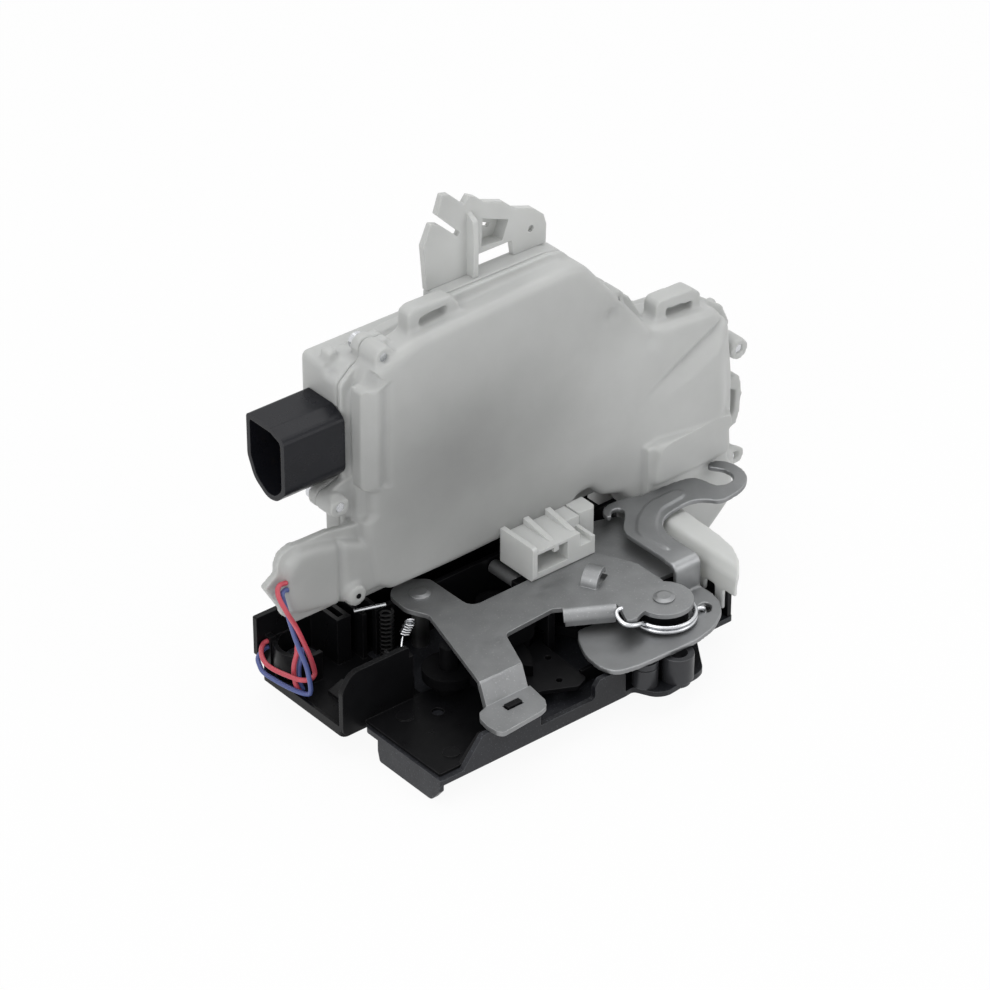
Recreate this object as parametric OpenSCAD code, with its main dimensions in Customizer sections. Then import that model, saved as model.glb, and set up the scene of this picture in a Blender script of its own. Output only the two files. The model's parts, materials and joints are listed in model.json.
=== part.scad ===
// Vehicle door latch with its electric actuator module.
// Face plate underside at z = 0, levers above it, actuator module standing at the rear.
// The origin is the axis of the front fixing bush on the face plate's underside.

/* [Face plate] */
// Thickness of the face plate sheet
plate_t = 2; // [1.6:0.1:2.4]
// Length of the face plate along X
plate_l = 136; // [134:1:140]
// Depth of the face plate behind the front wall
plate_d = 72; // [71.5:0.5:73.5]
// Height of the front wall's top edge above the underside
wall_h = 12.2; // [11.6:0.1:12.2]
// Left edge of the striker mouth
mouth_x = 42; // [41:0.5:43]
// Width of the striker mouth
mouth_w = 23.5; // [22:0.5:24.5]
// Height of the mouth's sill
sill_z = 5; // [4:0.5:6]
// Drop of the locating flange below the underside
flange_drop = 8; // [6:0.5:8]

/* [Fixing] */
// Front fixing bush, distance from the plate's left corner
fix_x = 98; // [97:0.5:99]
// Front fixing bush, distance in front of the wall
fix_front = 4; // [3.5:0.5:4.5]
// Radius of the fixing thread's core
thread_r = 3.4; // [2.9:0.1:3.6]
// Outer radius of the front fixing bush
bush_r = 5.6; // [5.2:0.1:6]
// Height of the bushes above the plate
bush_h = 9.6; // [8:0.2:9.6]
// Outer radius of the spacer post beside the front bush
post_r = 4.4; // [4:0.1:4.8]

/* [Back plate] */
// Thickness of the grey sheet parts
sheet_t = 1.7; // [1.4:0.1:1.9]
// Top face of the back plate
back_z = 22; // [21.8:0.1:22.4]
// Radius of the disc that carries the outer lever
disc_r = 10; // [9:0.5:10.5]
// Top face of the front tab
tab_z = 14; // [13.9:0.1:14.1]
// Radius of the rivet shanks
rivet_r = 3; // [2.6:0.1:3.2]
// Radius of the rivet heads
head_r = 3.7; // [3.5:0.1:4.2]

/* [Outer lever] */
// Top face of the lever's lower blade
blade_z = 14; // [13.9:0.1:14.3]
// Top face of the lever's upper arm
arm_z = 26; // [25.8:0.1:27]
// Running clearance of each pivot, radial
run_gap = 0.05; // [0.03:0.01:0.1]
// Wire radius of the return spring
spring_wire_r = 0.8; // [0.6:0.1:0.9]
// Mean coil radius of the return spring
spring_coil_r = 10.8; // [10.6:0.1:11]

/* [Catch and pawl] */
// Underside of the catch and the pawl
catch_z = 7.9; // [7.7:0.1:8.2]
// Thickness of the catch and the pawl
catch_t = 3.8; // [3.4:0.1:3.9]
// Outer radius of the catch
catch_r = 28; // [27:0.2:28.2]
// Width of the striker slot in the catch
slot_w = 10; // [9:0.5:11]
// Radius of the catch pin and the pawl pin
pin_r = 3; // [2.6:0.1:3.2]

/* [Housing] */
// Wall of the black latch housing
tray_wall = 2; // [1.6:0.1:2.4]
// Height of the tray's walls
tray_h = 24; // [22:0.5:24]
// Left edge of the tray
tray_x = -8; // [-9:0.5:-7.5]

/* [Actuator module] */
// Front face of the cover
cover_y = 63.3; // [63.1:0.1:63.8]
// Parting plane between the cover and the rear housing
part_y = 75; // [74:0.5:75.5]
// Rear face of the module
rear_y = 94; // [93:0.5:97]
// Wall of the module's two shells
shell_t = 1.8; // [1.4:0.1:2.1]
// Radius of the cover's rounded front edge
edge_r = 3.2; // [2.4:0.2:3.6]
// Underside of the module above the latch
module_z = 24.3; // [24.1:0.1:24.8]
// Outer radius of the screw bosses
boss_r = 4; // [3.6:0.1:4.4]
// Shank radius of the housing screws
screw_r = 1.6; // [1.3:0.1:1.8]

/* [Connector] */
// Length of the connector shroud in front of the housing
shroud_l = 28; // [26:0.5:30]
// Wall of the connector shroud
shroud_t = 1.8; // [1.4:0.1:2.2]
// Half width of a contact blade
blade_w = 0.8; // [0.6:0.1:0.9]

/* [Drives] */
// Radius of the motor cans
motor_r = 8.6; // [8:0.2:9]
// Length of the motor cans
motor_l = 25; // [24:0.5:26]
// Radius of the motor shafts
shaft_r = 1; // [0.8:0.1:1.1]
// Outer radius of the worms
worm_r = 3.6; // [3.2:0.1:3.8]
// Tip radius of the lock wheel
lock_wheel_r = 14; // [13:0.2:14.4]
// Tip radius of the safing wheel
safe_wheel_r = 12.6; // [12:0.2:13]
// Number of teeth on each wheel
wheel_teeth = 26; // [20:1:30]

/* [Leads] */
// Radius of the two leads
lead_r = 0.85; // [0.7:0.05:1]

/* [Hidden] */
$fn = 48;
eps = 0.02;
face_gap = 0.3;
fix_y = -fix_front;
black = [0.06, 0.06, 0.065];
coat = [0.13, 0.13, 0.145];
grey = [0.52, 0.53, 0.54];
zinc = [0.78, 0.79, 0.8];
milk = [0.78, 0.8, 0.78];
brass = [0.8, 0.62, 0.3];
red = [0.72, 0.16, 0.2];
blue = [0.26, 0.32, 0.62];

// Pivots and anchor points in the plan of the latch, from the plate's left front corner
lever_at = [105.3, 11.6];
catch_at = [34, 38];
pawl_at = [70, 58];
left_rivet_at = [43.9, 65.3];
post_at = [87.1, -0.1];
rear_bush_at = [4, 79];
rear_bush_h = 5;
lug_at = [82, 29.5];
lug_r = 1.6;
knuckle_x = 78.5;
knuckle_z = 16.9;
knuckle_r = 2.5;
knuckle_pin_r = 1.5;

// Screws of the module, x and z of each boss
screw_at = [[30.8, 119], [12.1, 69.1], [18.5, 31.7], [186.6, 62.5], [184.7, 18.7], [129.7, 102.8]];
ear_t = 4;
boss_front = 9;

module placed() translate([-fix_x, -fix_y, 0]) children();

// Corner of an outline rounded to radius r
function unit(v) = v / norm(v);
function corner(a, b, c, r, n) =
    let (u = unit(a - b), v = unit(c - b), ang = acos(max(-1, min(1, u * v))))
    (r < 0.05 || ang > 170) ? [b] :
    let (t = min(r / tan(ang / 2), 0.48 * norm(a - b), 0.48 * norm(c - b)), rr = t * tan(ang / 2),
         o = b + unit(u + v) * rr / sin(ang / 2), p0 = b + u * t - o, p1 = b + v * t - o,
         a0 = atan2(p0.y, p0.x), d = (atan2(p1.y, p1.x) - a0 + 540) % 360 - 180)
    [for (i = [0:n]) o + rr * [cos(a0 + d * i / n), sin(a0 + d * i / n)]];
function smooth(pts, r, n = 4) =
    let (k = len(pts))
    [for (i = [0:k - 1]) each corner(pts[(i + k - 1) % k], pts[i], pts[(i + 1) % k],
                                     is_list(r) ? r[i] : r, n)];

// Outline moved inwards by d; the outline runs anticlockwise
function inset(pts, d) =
    let (k = len(pts))
    [for (i = [0:k - 1])
        let (e = unit(pts[i] - pts[(i + k - 1) % k]), f = unit(pts[(i + 1) % k] - pts[i]),
             m = [-e.y, e.x], n = [-f.y, f.x])
        pts[i] + d * (m + n) / (1 + m * n)];

// Flat piece in plan with rounded corners
module plate(pts, r, z, t) translate([0, 0, z]) linear_extrude(t) polygon(smooth(pts, r));

// Upright piece, its outline in x and z, from y to y + t
module panel(pts, r, y, t) translate([0, y + t, 0]) rotate([90, 0, 0])
    linear_extrude(t) polygon(smooth(pts, r));

// Upright piece, its outline in y and z, from x to x + t
module side_panel(pts, r, x, t) translate([x, 0, 0]) rotate([90, 0, 90])
    linear_extrude(t) polygon(smooth(pts, r));

// Block between two corners
module block(a, b) translate(a) cube(b - a);

// Round bar along Y
module rod_y(x, z, r, y0, y1) translate([x, y1, z]) rotate([90, 0, 0]) cylinder(r = r, h = y1 - y0);

// Round bar along X
module rod_x(y, z, r, x0, x1) translate([x0, y, z]) rotate([0, 90, 0]) cylinder(r = r, h = x1 - x0);

// Triangles that fill an outline, as indices of its points; the outline runs anticlockwise
function turn(a, b, c) = (b.x - a.x) * (c.y - a.y) - (b.y - a.y) * (c.x - a.x);
function is_ear(p, a, b, c, rest) = turn(p[a], p[b], p[c]) > 0 &&
    len([for (j = rest) if (j != a && j != b && j != c && turn(p[a], p[b], p[j]) >= 0
                            && turn(p[b], p[c], p[j]) >= 0 && turn(p[c], p[a], p[j]) >= 0) j]) == 0;
function fill(p, rest, i = 0, miss = 0, done = []) =
    let (k = len(rest), a = rest[(i + k - 1) % k], b = rest[i % k], c = rest[(i + 1) % k])
    k < 4 || miss > k ? concat(done, [rest]) :
    is_ear(p, a, b, c, rest) ? fill(p, [for (j = rest) if (j != b) j], i % k, 0, concat(done, [[a, b, c]])) :
    fill(p, rest, i + 1, miss + 1, done);

// Shell with a rounded front edge: rings from the back y1 to the front face y0
module pillow(pts, y0, y1, r, steps = 4) {
    k = len(pts);
    rings = [for (s = [-1:steps])
        let (a = s < 0 ? 0 : 90 * s / steps, y = s < 0 ? y1 : y0 + r * (1 - sin(a)),
             ring = inset(pts, r * (1 - cos(a))))
        [for (p = ring) [p.x, y, p.y]]];
    n = len(rings);
    sides = [for (s = [0:n - 2]) for (i = [0:k - 1])
        let (j = (i + 1) % k) each [[s * k + i, (s + 1) * k + i, (s + 1) * k + j],
                                    [s * k + i, (s + 1) * k + j, s * k + j]]];
    front = [for (p = rings[n - 1]) [p.x, p.z]];
    back_face = fill(pts, [for (i = [0:k - 1]) i]);
    front_face = [for (t = fill(front, [for (i = [0:k - 1]) i])) [for (j = [2:-1:0]) (n - 1) * k + t[j]]];
    polyhedron(points = [for (g = rings) each g], faces = concat(back_face, front_face, sides));
}

// Round wire swept along a list of points, its section carried along without twist
function frames(path, i = 0, side = [0, 0, 0], done = []) =
    let (n = len(path))
    i == n ? done :
    let (t = unit(path[min(i + 1, n - 1)] - path[max(i - 1, 0)]),
         s = unit(i == 0 ? cross(t, abs(t.z) > 0.9 ? [1, 0, 0] : [0, 0, 1]) : side - (side * t) * t))
    frames(path, i + 1, s, concat(done, [[s, cross(s, t)]]));
module wire(path, r, sides = 8) {
    n = len(path);
    f = frames(path);
    pts = [for (i = [0:n - 1]) for (j = [0:sides - 1])
        path[i] + r * (cos(360 * j / sides) * f[i][0] + sin(360 * j / sides) * f[i][1])];
    faces = concat([[for (j = [0:sides - 1]) j]],
        [[for (j = [sides - 1:-1:0]) (n - 1) * sides + j]],
        [for (i = [0:n - 2]) for (j = [0:sides - 1]) let (k = (j + 1) % sides)
            each [[i * sides + j, (i + 1) * sides + j, (i + 1) * sides + k],
                  [i * sides + j, (i + 1) * sides + k, i * sides + k]]]);
    polyhedron(points = pts, faces = faces);
}

// Points of a coil about Z
function coil(c, r, z0, z1, turns, a0, step = 24) =
    let (n = ceil(turns * 360 / step))
    [for (i = [0:n]) [c.x + r * cos(a0 + turns * 360 * i / n), c.y + r * sin(a0 + turns * 360 * i / n),
                      z0 + (z1 - z0) * i / n]];

// Face plate: base, front wall with the striker mouth, and the locating flange on the left
plate_pts = [[0, 0], [78.7, 0], [82.4, 0.4], [85.9, -6.6], [89.8, -8.7], [104.4, -7.3],
             [107.6, -6.1], [111.9, 0.2], [119, 10.5], [plate_l, 10.5], [plate_l, plate_d],
             [26, plate_d], [26, 40], [0, 40]];
wall_pts = [[8.5, 1], [17.6, wall_h], [mouth_x, wall_h], [mouth_x, sill_z],
            [mouth_x + mouth_w, sill_z], [mouth_x + mouth_w, 9.5], [67.5, 11.8], [75.5, 11.8],
            [78.7, 9.1], [78.7, 1]];
module face_plate() color(coat) placed() {
    difference() {
        union() {
            plate(plate_pts, [0.5, 1, 2, 7, 7, 8, 8, 9, 5, 1, 2, 1, 1, 2], 0, plate_t);
            panel(wall_pts, [0, 1, 0.2, 0.6, 1.2, 0.5, 1, 1.2, 1, 0], 0, plate_t);
            side_panel([[1, 1], [1, -3], [5, -flange_drop], [32, -flange_drop],
                        [33, 4 - flange_drop], [33, 1]], [0, 1, 3, 1, 2, 0], 0, plate_t);
        }
        translate([fix_x, fix_y, -1]) cylinder(r = bush_r - 1, h = plate_t + 2);
        translate([post_at.x, post_at.y, -1]) cylinder(r = post_r - 1.4, h = plate_t + 2);
        translate([lever_at.x, lever_at.y, -1]) cylinder(r = rivet_r, h = plate_t + 2);
        translate([catch_at.x, catch_at.y, -1]) cylinder(r = pin_r, h = plate_t + 2);
        translate([pawl_at.x, pawl_at.y, -1]) cylinder(r = pin_r, h = plate_t + 2);
        translate([left_rivet_at.x, left_rivet_at.y, -1]) cylinder(r = rivet_r, h = plate_t + 2);
    }
}

// Threaded bush pressed into the plate, its bore open below
module bush(at, r, spigot, h) translate([at.x, at.y, 0]) difference() {
    union() {
        cylinder(r = spigot, h = plate_t);
        translate([0, 0, plate_t]) cylinder(r = r, h = h);
    }
    translate([0, 0, -1]) cylinder(r = thread_r, h = h + plate_t + 2);
}
module fixing_bush_front() color(coat) placed() bush([fix_x, fix_y], bush_r, bush_r - 1, bush_h);
module fixing_bush_rear() color(coat) placed() bush(rear_bush_at, bush_r, bush_r - 1, rear_bush_h);
module spacer_post() color(coat) placed() translate([post_at.x, post_at.y, 0]) {
    cylinder(r = post_r - 1.4, h = plate_t);
    translate([0, 0, plate_t]) cylinder(r = post_r, h = bush_h - 2.6);
    translate([0, 0, plate_t + bush_h - 2.6 - eps]) cylinder(r = post_r - 0.4, h = 0.6 + 2 * eps);
    translate([0, 0, plate_t + bush_h - 2]) cylinder(r = post_r, h = 2);
}

// Black housing: tray on the left, liner and walls of the catch chamber
floor_z = plate_t + 1;
peg_at = [31.6, 4.2];
peg_w = 6;
peg_d = 2.2;
tray_y = 41;
tray_back = 87.3;
above_pawl = 12.3;
spring_peg_at = [30.4, 55];
module tray() {
    difference() {
        plate([[tray_x, tray_y], [26 - eps, tray_y], [26 - eps, plate_d + eps], [plate_l, plate_d + eps],
               [plate_l, 92], [tray_x + 6, 92], [tray_x, 84]], [2, 0, 0, 0, 2, 2, 2], 0, plate_t);
        translate([rear_bush_at.x, rear_bush_at.y, -1]) cylinder(r = bush_r - 1, h = plate_t + 2);
    }
    panel([[tray_x, 0], [20, 0], [20, tray_h], [tray_x + 4, tray_h], [tray_x, tray_h - 6]],
          [3, 0, 1, 6, 5], tray_y, tray_wall);
    block([12, tray_y + tray_wall - eps, tray_h - 2], [13, tray_y + tray_wall + 1.5, tray_h + 0.2]);
    panel([[tray_x + 6, 1], [26, 1], [26, tray_h - 1], [tray_x, tray_h - 1], [tray_x, 8]],
          [0, 0, 0, 0.5, 1], tray_back, tray_wall);
    block([tray_x, tray_y + 1, plate_t - eps], [tray_x + 1.2, 83, plate_t + 1.6]);
    difference() {
        translate([rear_bush_at.x, rear_bush_at.y, plate_t - eps]) cylinder(r = 9.4, h = 11);
        translate([rear_bush_at.x, rear_bush_at.y, plate_t - 1]) cylinder(r = 7.8, h = 14);
        translate([rear_bush_at.x, rear_bush_at.y, 0]) block([2, -12, plate_t], [12, 12, 20]);
    }
    block([-4.6, 84.6, plate_t - eps], [-2.2, tray_back + eps, 15]);
    for (x = [14.5, 18.5]) block([x, 74, plate_t - eps], [x + 1.6, tray_back + eps, 20]);
    block([14.5, 72.6, plate_t - eps], [20.1, 74.2, 20]);
    panel([[2, 1], [8, 1], [8, 5.4], [2, 3.2]], 0, 56, 6);
}
module chamber() {
    liner_y = plate_t + face_gap;
    liner_x = mouth_x - 0.6;
    plate([[1.4, liner_y], [liner_x, liner_y], [liner_x, 40], [22, tray_y + 1], [1.4, tray_y + 1]],
          0.6, plate_t, 1);
    panel([[10.4, floor_z - eps], [18.2, wall_h - 1], [liner_x, wall_h - 1], [liner_x, floor_z - eps]],
          [0, 0.6, 0.4, 0], liner_y, 1.4);
    for (p = [[11.7, 9.1], [12.6, 34.5]])
        translate([p.x, p.y, floor_z - eps]) cylinder(r = 2.9, h = 0.5);
    block([peg_at.x - 1.6, liner_y + 1, floor_z - eps],
          [peg_at.x + peg_w + 1.6, peg_at.y + peg_d + 0.6, wall_h - 0.4]);
    block([peg_at.x, peg_at.y, wall_h - 0.4 - eps], [peg_at.x + peg_w, peg_at.y + peg_d, tab_z + 0.8]);
    difference() {
        union() {
            panel([[70.2, plate_t], [131.8, plate_t], [131.8, 7.4], [70.2, 7.4]], 0, 12.4, 1.6);
            block([plate_l - 2, 11, plate_t], [plate_l - 0.4, 88, 12]);
        }
        translate([lever_at.x, lever_at.y, plate_t - 1]) cylinder(r = 6, h = 10);
    }
    block([66, 36, plate_t], [67.6, 46, 7.2]);
    block([mouth_x, 37, above_pawl], [73.8, 39, back_z - sheet_t - face_gap]);
    block([71, 30.8, plate_t], [73.8, 33, back_z - sheet_t - face_gap]);
    block([71, 33 - eps, above_pawl], [73.8, 37 + eps, back_z - sheet_t - face_gap]);
    block([mouth_x, 39 - eps, plate_t], [mouth_x + 1.6, 41.5, 6.8]);
    block([66, 39 - eps, above_pawl], [67.6, 46.4, 20]);
    block([28, 69, plate_t], [plate_l - 2, 70.8, 20.2]);
    translate([spring_peg_at.x, spring_peg_at.y, plate_t]) cylinder(r = 0.8, h = 7);
    for (x = [24, 30]) block([x - 0.8, 70, plate_t], [x + 0.8, 86, 20]);
    block([26.2, 84.4, plate_t - eps], [plate_l - 2, 86, module_z - face_gap]);
    block([20 - eps, tray_y, plate_t], [21.6, 47, 20]);
    block([20 - eps, 46.2, plate_t], [26, 47.8, 6.8]);
    difference() {
        union() {
            block([knuckle_x - 3.6, eye_y0 - 3.4, above_pawl],
                  [knuckle_x + 3.6, eye_y0 - 0.6, knuckle_z + 2.6]);
            block([knuckle_x + 3.5, eye_y0 - 3.4, above_pawl], [87, eye_y0 - 0.6, 15]);
            block([84.5, eye_y0 - 3.4, plate_t], [87, eye_y0 - 0.6, 15]);
        }
        rod_y(knuckle_x, knuckle_z, knuckle_pin_r, 40, 60);
    }
}
module latch_housing() color(black) placed() difference() {
    union() {
        tray();
        difference() {
            chamber();
            translate([22.8, 29.8, 0]) cylinder(r = 2.1, h = 6);
            translate([catch_at.x, catch_at.y, 0]) cylinder(r = pin_r + 0.2, h = 6);
            translate([knuckle_x, 66, knuckle_z]) rotate([-90, 0, 0]) cylinder(r = knuckle_pin_r, h = 6);
        }
    }
    translate([left_rivet_at.x, left_rivet_at.y, -1]) cylinder(r = rivet_r + 0.4, h = 30);
}

// Guide plate that the striker slides over inside the mouth
guide_z = 6;
module mouth_guide() color(black) placed() difference() {
    union() {
        plate([[46, 12.6], [52.6, 12], [64, 6.4], [68.8, 8.6], [70.5, 34.5], [46, 34.5]],
              [0.5, 1, 2, 1.5, 1, 0.5], guide_z, 1.6);
        block([46, 14, plate_t], [47.6, 34, guide_z + eps]);
        block([67.2, 14, plate_t], [68.6, 34, guide_z + eps]);
    }
    for (p = [[66.3, 25.3], [60.9, 13.1]]) translate([p.x, p.y, 0]) cylinder(r = 1.2, h = 12);
}

// Grey back plate: window behind, mouth cut-out, rolled flange, stepped front tab, lever disc
window = [52.2, 48.5];
roll_at = [75.2, 28.7];
roll_l = 18.2;
roll_a = -30.2;
roll_r = 3.6;
under_back = back_z - sheet_t;
back_pts = [[27, 13.4], [44.6, 13], [51, 29.2], [72.4, 30.4], [75.2, 28.7], [91, 19.5], [89.2, 14],
            [87.2, 9.6], [88.2, 8.9], [91, 8.6], [94, 9.8], [105.3, 11.6], [112, 19.8], [112, 33],
            [104.3, 49], [window.x, window.y], [52, 70.4], [45, 76], [35.6, 72.5], [34.6, 61.5],
            [38.4, 53.7]];
back_r = [0, 0, 3, 2, 0, 1.5, 2, 0.5, 0.5, 1, 0.5, 0, 1, 4, 3, 4, 3, 6, 6, 6, 3];
tab_pts = [[27.2, 10], [23.3, 8.8], [21.3, 6.1], [20.6, 1.7], [21, -2.9], [22.4, -4.8], [39.4, -3.4],
           [42.5, -2.4], [44.4, 0.8], [45.6, 9.4], [45.6, 10]];
module tab_riser() {
    side_panel([[10, tab_z - sheet_t], [11.6, tab_z - sheet_t], [14.6, under_back], [14.6, back_z],
                [13.2, back_z], [10, tab_z]], [0, 0.8, 0.8, 0, 1.4, 0], 27.2, 17.6);
}
module rolled_flange() translate([roll_at.x, roll_at.y, back_z - roll_r]) rotate([0, 0, roll_a]) {
    intersection() {
        difference() {
            rod_x(0, 0, roll_r, 0, roll_l);
            rod_x(0, 0, roll_r - sheet_t, -1, roll_l + 1);
        }
        block([-1, -roll_r - 1, 0], [roll_l + 1, eps, roll_r + 1]);
    }
    block([0.6, -roll_r, -1.6], [roll_l - 0.6, sheet_t - roll_r, eps]);
}
ear_at = [90.9, 29.6];
ear_a = 27.3;
ear_w = 5.8;
module punched_ear() translate([ear_at.x, ear_at.y, back_z - 0.2]) rotate([0, 0, ear_a]) intersection() {
    difference() {
        rod_y(5.4, 0, 5.4, 0, ear_w);
        rod_y(5.4, 0, 5.4 - sheet_t, -1, ear_w + 1);
    }
    block([-1, -1, 0], [8.4, ear_w + 1, 8]);
}
module ear_slot() translate([ear_at.x, ear_at.y, under_back - 1]) rotate([0, 0, ear_a])
    block([sheet_t, -0.3, 0], [10.2, ear_w + 0.3, 4]);
module back_plate() color(grey) placed() difference() {
    union() {
        plate(back_pts, back_r, under_back, sheet_t);
        translate([lever_at.x, lever_at.y, under_back]) cylinder(r = disc_r, h = sheet_t);
        plate(tab_pts, [0, 2, 2, 2, 3, 2, 2, 3, 2, 0.5, 0], tab_z - sheet_t, sheet_t);
        tab_riser();
        rolled_flange();
        punched_ear();
    }
    ear_slot();
    block([peg_at.x - 0.4, peg_at.y - 0.4, 10], [peg_at.x + peg_w + 0.4, peg_at.y + peg_d + 0.4, 18]);
    translate([lever_at.x, lever_at.y, 10]) cylinder(r = rivet_r, h = 20);
    translate([left_rivet_at.x, left_rivet_at.y, 10]) cylinder(r = rivet_r, h = 20);
}

// Second grey plate below the back plate, behind the outer lever
support_z = under_back - face_gap - sheet_t;
module support_plate() color(grey) placed() {
    plate([[92, 42], [92, 34], [113, 24], [129, 22.6], [129, 61], [108, 68], [84, 68], [84, 50]],
          [2, 2, 2, 2, 4, 2, 2, 2], support_z, sheet_t);
    block([108, 64, plate_t], [110, 67.8, support_z + eps]);
}

// Riveted pivots
module rivet_head(r, z) {
    translate([0, 0, z]) cylinder(r = r, h = 0.6);
    translate([0, 0, z + 0.6 - eps]) cylinder(r1 = r, r2 = r - 1.4, h = 0.6);
}
module plate_rivet() color(grey) placed() translate([left_rivet_at.x, left_rivet_at.y, 0]) {
    cylinder(r = rivet_r, h = back_z);
    rivet_head(head_r, back_z - eps);
}
module lever_rivet() color(grey) placed() translate([lever_at.x, lever_at.y, 0]) {
    cylinder(r = rivet_r, h = back_z);
    translate([0, 0, plate_t]) cylinder(r = rivet_r + 2.4, h = blade_z - sheet_t - face_gap - plate_t);
    rivet_head(head_r, back_z - eps);
}
module lever_bush() color(black) placed() translate([lever_at.x, lever_at.y, blade_z + face_gap])
    difference() {
        cylinder(r = 8.4, h = under_back - blade_z - 2 * face_gap);
        translate([0, 0, -1]) cylinder(r = rivet_r, h = 12);
    }
module catch_pin() color(coat) placed() translate([catch_at.x, catch_at.y, 0]) {
    cylinder(r = pin_r, h = under_back);
    translate([0, 0, plate_t + 1]) cylinder(r = pin_r + 1.6, h = catch_z - plate_t - 1 - face_gap);
}
pawl_pin_top = 13;
module pawl_pin() color(coat) placed() translate([pawl_at.x, pawl_at.y, 0]) {
    cylinder(r = pin_r, h = pawl_pin_top);
    translate([0, 0, plate_t]) cylinder(r = pin_r + 1.6, h = catch_z - plate_t - face_gap);
    translate([0, 0, catch_z + catch_t + face_gap]) cylinder(r = pin_r + 1, h = 0.8);
}

// Fork catch, open: near arm, striker slot and far arm about its pivot
slot_a = -50;
near_a = -78;
far_a = 4;
pocket_r = 20;
module wedge(a0, a1, h) linear_extrude(h)
    polygon(concat([[0, 0]], [for (i = [0:6]) let (a = a0 + (a1 - a0) * i / 6) 60 * [cos(a), sin(a)]]));
module catch() color(black) placed() translate([catch_at.x, catch_at.y, catch_z]) difference() {
    union() {
        cylinder(r = 9, h = catch_t);
        intersection() {
            cylinder(r = catch_r, h = catch_t);
            wedge(near_a, far_a, catch_t);
        }
    }
    rotate([0, 0, slot_a]) translate([pocket_r, 0, -1]) {
        cylinder(r = slot_w / 2, h = catch_t + 2);
        translate([0, -slot_w / 2, 0]) cube([20, slot_w, catch_t + 2]);
    }
    rotate([0, 0, near_a]) translate([20, -6, -1]) cube([12, 7, catch_t + 2]);
    translate([0, 0, -1]) cylinder(r = pin_r + run_gap, h = catch_t + 2);
}

// Pawl: nose at the catch's rim and tail with the lug that the outer lever pushes
nose_gap = 0.6;
nose_at = catch_at + (catch_r + nose_gap + 2.2) * unit([28.4, -1.6]);
module link(a, ra, b, rb, h) hull() {
    translate([a.x, a.y, 0]) cylinder(r = ra, h = h, $fn = 32);
    translate([b.x, b.y, 0]) cylinder(r = rb, h = h, $fn = 32);
}
module pawl() color(coat) placed() difference() {
    union() {
        translate([0, 0, catch_z]) {
            link(pawl_at, 6.4, nose_at, 2.2, catch_t);
            link(pawl_at, 6.4, lug_at, 2.6, catch_t);
        }
        translate([lug_at.x, lug_at.y, catch_z]) cylinder(r = lug_r, h = blade_z + 0.4 - catch_z);
    }
    translate([pawl_at.x, pawl_at.y, 0]) cylinder(r = pin_r + run_gap, h = 20);
}

module striker_bumper() color([0.1, 0.1, 0.1]) placed()
    panel([[48, 12.4], [66, 12.4], [66, under_back - 0.6], [48, under_back - 0.6]], 1.5, 32, 5);

// Springs in the tray, and the rod end beside them
module catch_spring() color(zinc) placed() {
    turns = [for (p = coil([0, 0], 1.7, 0, 1, 5, 0, 45))
        [34.2 - 1.6 * p.z + p.x, 58.2 + 1.2 * p.z + p.y, 18.8 - 4.6 * p.z]];
    leg = [[31.6, 59.2, 13.2], [30.6, 58.6, 10.8], [29.8, 57.4, 8.6], [30.4, 56.4, 7.2]];
    wire(concat(turns, leg), 0.4, 6);
}
module pawl_spring() color(black) placed()
    wire(coil([29.6, 65.2], 2.2, 2.8, 21.4, 11, 0, 45), 0.45, 6);
module spring_rod() color(zinc) placed() rod_pin([20.4, 71.3, 22], [31.1, 67.7, 22], 0.75);
module rod_pin(a, b, r) {
    d = b - a;
    translate(a) rotate([0, 90, atan2(d.y, d.x)]) cylinder(r = r, h = norm(d));
}

// Outer release lever: lower blade, upright web, upper arm with the large and the small hook
web_y = 18.2;
bend_r = 3;
blade_pts = [[78.5, 24.3], [74.7, 19.8], [70.9, 11.8], [70.1, 4.2], [72.2, -2.4], [81.1, -4.2],
             [93.7, -4.8], [105.3, -5.3], [114.7, -3.3], [122.7, 1.6], [126.9, 7.4], [127.8, 12.7],
             [127.8, 19.9], [116.5, 19.9], [112, 21.6]];
arm_pts = [[118.5, 57.4], [120, 61], [123.8, 62.4], [131.5, 62], [136, 59.4], [150.9, 58.6],
           [157.5, 57.3], [159.7, 54.6], [160.4, 48.6], [162.1, 46.6], [166.2, 46], [169.2, 47.6],
           [170.8, 51.7], [168.7, 56], [167.1, 58.9], [169.6, 60], [171.5, 59], [174.7, 54.7],
           [174.2, 47.6], [171.3, 43.8], [166.2, 40.7], [155.5, 39.3], [152.3, 43.7], [147.1, 46.2],
           [136, 44.8], [131.5, 42.4], [128.5, 37.7], [127.8, 32], [127.8, web_y], [116.5, web_y],
           [117, 26], [117, 46.2], [125.5, 54.8], [126.3, 57.2], [124.6, 58.8], [122, 58.6],
           [120.8, 56.2], [119.2, 55.8]];
hole_a = [119.1, 6.2];
hole_b = [121, 8.4];
rib_pts = [[119.5, 24], [124.4, 24], [124.8, 34], [129, 43], [136, 48.4], [149, 49.6], [149, 54.4],
           [135, 54], [126, 49], [119.6, 42]];
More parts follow.
